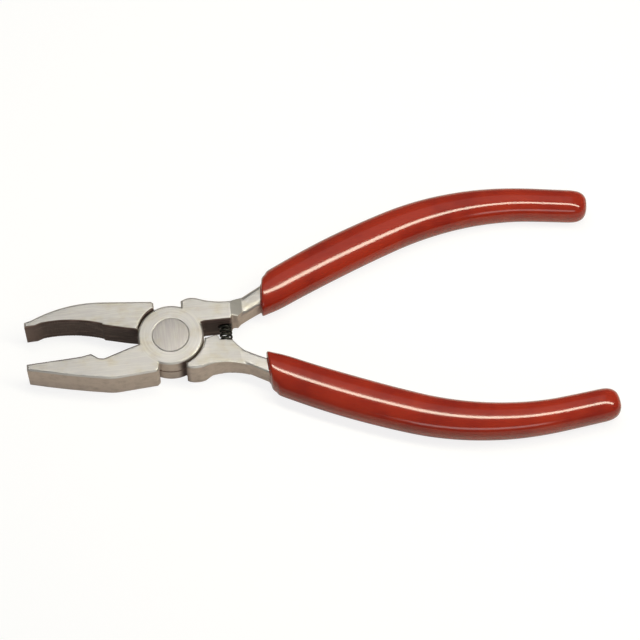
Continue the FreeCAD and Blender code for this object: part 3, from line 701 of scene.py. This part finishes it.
def make_floor():
    """Plain pale table top at the height that the tool rests on."""
    bpy.ops.mesh.primitive_circle_add(vertices=96, radius=3.0, fill_type="NGON")
    floor = bpy.context.object
    floor.name = "table_top"
    floor.location.z = CAD_BOX[0].z
    material = bpy.data.materials.new("pale_table")
    material.use_nodes = True
    tree = material.node_tree
    tree.nodes.clear()
    lit = tree.nodes.new("ShaderNodeBsdfDiffuse")
    lit.inputs["Color"].default_value = (0.93, 0.93, 0.93, 1)
    glow = tree.nodes.new("ShaderNodeEmission")
    glow.inputs["Color"].default_value = (1.0, 1.0, 1.0, 1)
    glow.inputs["Strength"].default_value = 1.04
    pale = tree.nodes.new("ShaderNodeMixShader")
    pale.inputs[0].default_value = 0.8
    tree.links.new(lit.outputs[0], pale.inputs[1])
    tree.links.new(glow.outputs[0], pale.inputs[2])
    dim = tree.nodes.new("ShaderNodeBsdfDiffuse")
    dim.inputs["Color"].default_value = (0.42, 0.39, 0.36, 1)
    lift = tree.nodes.new("ShaderNodeEmission")
    lift.inputs["Color"].default_value = (1.0, 0.93, 0.86, 1)
    lift.inputs["Strength"].default_value = 0.22
    bounce = tree.nodes.new("ShaderNodeAddShader")
    tree.links.new(dim.outputs[0], bounce.inputs[0])
    tree.links.new(lift.outputs[0], bounce.inputs[1])
    output = tree.nodes.new("ShaderNodeOutputMaterial")
    tree.links.new(two_faced(tree, pale.outputs[0], bounce.outputs[0]), output.inputs[0])
    floor.data.materials.append(material)


def make_world():
    """A pale room to look at, which lights the tool gently and more from above."""
    world = bpy.data.worlds.new("studio")
    bpy.context.scene.world = world
    world.use_nodes = True
    tree = world.node_tree
    tree.nodes.clear()
    seen = tree.nodes.new("ShaderNodeBackground")
    seen.inputs["Color"].default_value = (0.98, 0.98, 0.98, 1)
    direction = tree.nodes.new("ShaderNodeTexCoord")
    parts = tree.nodes.new("ShaderNodeSeparateXYZ")
    tree.links.new(direction.outputs["Generated"], parts.inputs[0])
    ramp = tree.nodes.new("ShaderNodeMapRange")
    ramp.inputs["From Min"].default_value = 0.0
    ramp.inputs["From Max"].default_value = 0.9
    ramp.inputs["To Min"].default_value = 0.14
    ramp.inputs["To Max"].default_value = 0.22
    tree.links.new(parts.outputs["Z"], ramp.inputs["Value"])
    unseen = tree.nodes.new("ShaderNodeBackground")
    unseen.inputs["Color"].default_value = (1.0, 0.98, 0.95, 1)
    tree.links.new(ramp.outputs[0], unseen.inputs["Strength"])
    output = tree.nodes.new("ShaderNodeOutputWorld")
    tree.links.new(two_faced(tree, seen.outputs[0], unseen.outputs[0]), output.inputs[0])


def add_panel(name, first_end, last_end, width, radiance, colour, target):
    """A rectangular lamp along a line, turned to a target; radiance is in watts per m2 and steradian."""
    first_end, last_end, target = Vector(first_end), Vector(last_end), Vector(target)
    lamp = bpy.data.lights.new(name, "AREA")
    lamp.shape = "RECTANGLE"
    lamp.size = (last_end - first_end).length
    lamp.size_y = width
    lamp.energy = radiance * math.pi * lamp.size * lamp.size_y
    lamp.color = colour
    along = (last_end - first_end).normalized()
    middle = (first_end + last_end) / 2
    away = middle - target
    away = (away - along * away.dot(along)).normalized()
    across = away.cross(along)
    obj = bpy.data.objects.new(name, lamp)
    turned = Matrix((along, across, away)).transposed().to_4x4()
    turned.translation = middle
    obj.matrix_world = turned
    obj.visible_camera = False
    bpy.context.scene.collection.objects.link(obj)


def make_lights():
    """One thin strip that draws the line of light along the grips, and two soft panels for the steel."""
    middle = (0.04, 0.0, JOINT_TOP)
    add_panel(
        "strip", (-0.055, 0.124, 0.350), (0.340, -0.104, 0.240),
        width=0.050, radiance=15.0, colour=(1.0, 0.96, 0.77), target=middle,
    )
    add_panel(
        "overhead", (-0.35, 0.52, 1.0), (0.40, 0.52, 1.0),
        width=0.5, radiance=0.35, colour=(1.0, 0.99, 0.97), target=middle,
    )
    add_panel(
        "front", (-0.4, -1.1, 0.55), (0.4, -1.1, 0.55),
        width=0.3, radiance=2.3, colour=(1.0, 0.98, 0.96), target=middle,
    )


def make_camera():
    """The camera of the picture: high over the handles' near side, with a long lens."""
    right = Vector((math.cos(VIEW_AZIMUTH), math.sin(VIEW_AZIMUTH), 0))
    level, rise = math.cos(VIEW_ELEVATION), math.sin(VIEW_ELEVATION)
    back = Vector((right.y * level, -right.x * level, rise))
    up = back.cross(right)
    pivot = Vector((0, 0, JOINT_TOP))
    look = pivot + right * VIEW_RIGHT_OF_PIVOT + up * VIEW_ABOVE_PIVOT
    data = bpy.data.cameras.new("camera")
    data.sensor_width = SENSOR
    data.lens = SENSOR * VIEW_DISTANCE / VIEW_WIDTH
    data.clip_start, data.clip_end = 0.01, 20.0
    camera = bpy.data.objects.new("camera", data)
    turned = Matrix((right, up, back)).transposed().to_4x4()
    turned.translation = look + back * VIEW_DISTANCE
    camera.matrix_world = turned
    bpy.context.scene.collection.objects.link(camera)
    bpy.context.scene.camera = camera


def main():
    """Build every piece, then the stage."""
    vinyl = red_vinyl()
    for side in ("flat", "curved"):
        steel = forged_steel(f"{side}_steel", SCALE_AND_SHADE_ZONES[side])
        make_lever(f"{side}_jaw_forging", f"{side}_jaw_lever", f"{side}_lever", steel)
    make_grip("flat_lever_vinyl", "flat_lever_grip", "flat_lever", FLAT_SIDE, vinyl)
    make_grip("curved_lever_vinyl", "curved_lever_grip", "curved_lever", CURVED_SIDE, vinyl)
    make_rivet(rivet_steel())
    make_spring(spring_steel())
    make_floor()
    make_world()
    make_lights()
    make_camera()
    bpy.context.scene.view_settings.view_transform = "Standard"


main()
